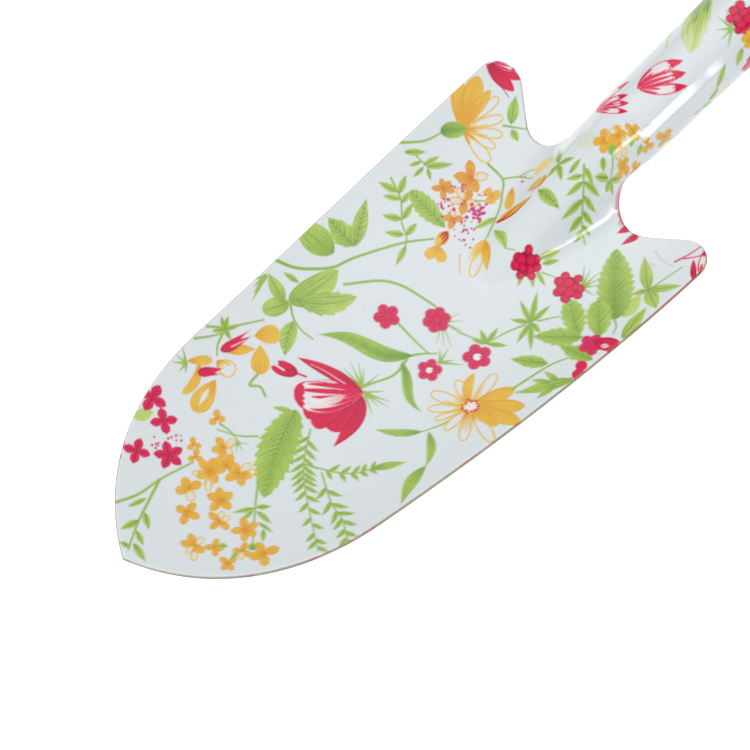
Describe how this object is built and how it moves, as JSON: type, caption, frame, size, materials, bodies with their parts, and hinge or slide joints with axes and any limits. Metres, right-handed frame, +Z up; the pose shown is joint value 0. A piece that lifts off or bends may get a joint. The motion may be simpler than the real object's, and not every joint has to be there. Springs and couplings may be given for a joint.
{
  "type": "hand trowel",
  "caption": "Garden hand trowel: dished, pointed steel blade with swept-back shoulders, neck rolled into a socket, turned wooden handle with a lined hanging hole.",
  "frame": {"origin": "middle of the trowel's bounding box, on the surface that it lies on", "axes": "+Y from the blade's tip to the handle's butt, +Z up, out of the blade's hollow face, +X to the right seen from the butt"},
  "size_m": [0.081, 0.3406, 0.0352],
  "materials": {
    "printed_enamel": "glossy cool white enamel with a printed floral pattern",
    "varnished_ash": "satin varnished ash",
    "brass": "turned and polished",
    "bright_steel": "bright plated steel"
  },
  "bodies": {
    "root": {"blade_and_socket": "printed_enamel", "handle": "varnished_ash", "collar": "brass", "socket_rivet": "bright_steel", "rivet_burr": "bright_steel", "hang_eyelet": "brass", "eyelet_washer": "brass"}
  },
  "joints": []
}
